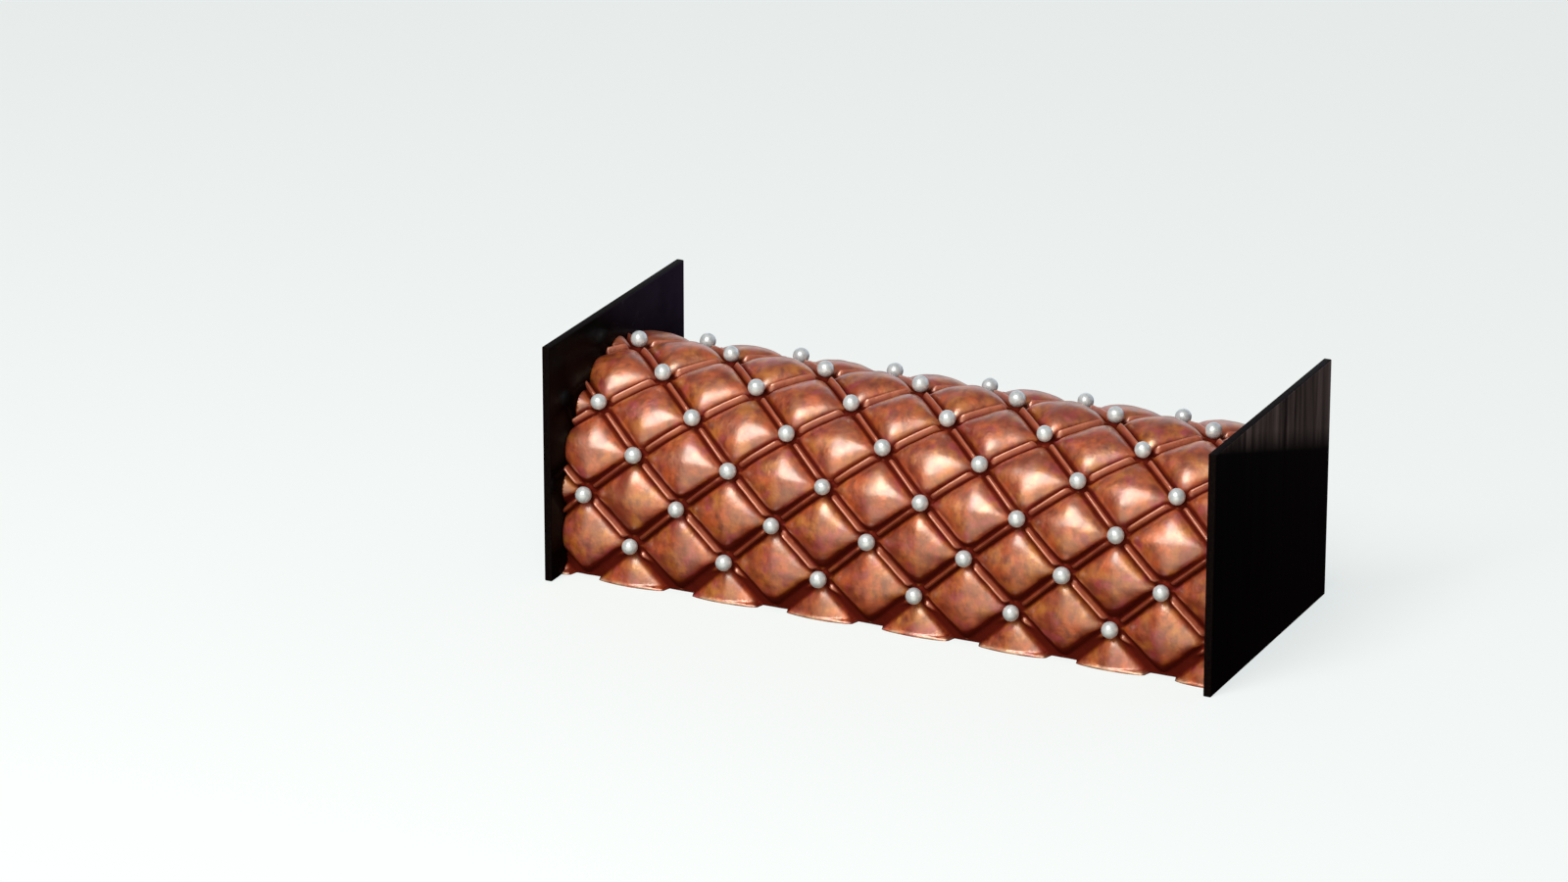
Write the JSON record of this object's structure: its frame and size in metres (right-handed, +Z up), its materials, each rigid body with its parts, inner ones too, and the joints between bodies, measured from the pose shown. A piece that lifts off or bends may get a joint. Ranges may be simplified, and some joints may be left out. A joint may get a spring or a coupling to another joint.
{
  "type": "yule log cake",
  "caption": "Half-round quilted yule log cake dusted in copper, with silver sugar pearls on the groove crossings and a thin dark chocolate plate at each end.",
  "frame": {"origin": "on the table under the middle of the cake, at the centre of the underside of its bounding box", "axes": "+X along the log towards the end with the wider gap between the last pearl and the plate, +Y across the log, +Z up"},
  "size_m": [0.2214, 0.093, 0.0765],
  "materials": {
    "copper_coating": "satin copper lustre dust over a chocolate coating",
    "dark_chocolate": "tempered dark chocolate, glossy, with fine upright brush streaks",
    "silver_pearl": "silver sugar coating, polished but slightly uneven"
  },
  "bodies": {
    "root": {"quilted_log": "copper_coating", "end_plate_left": "dark_chocolate", "end_plate_right": "dark_chocolate"}
  },
  "joints": []
}
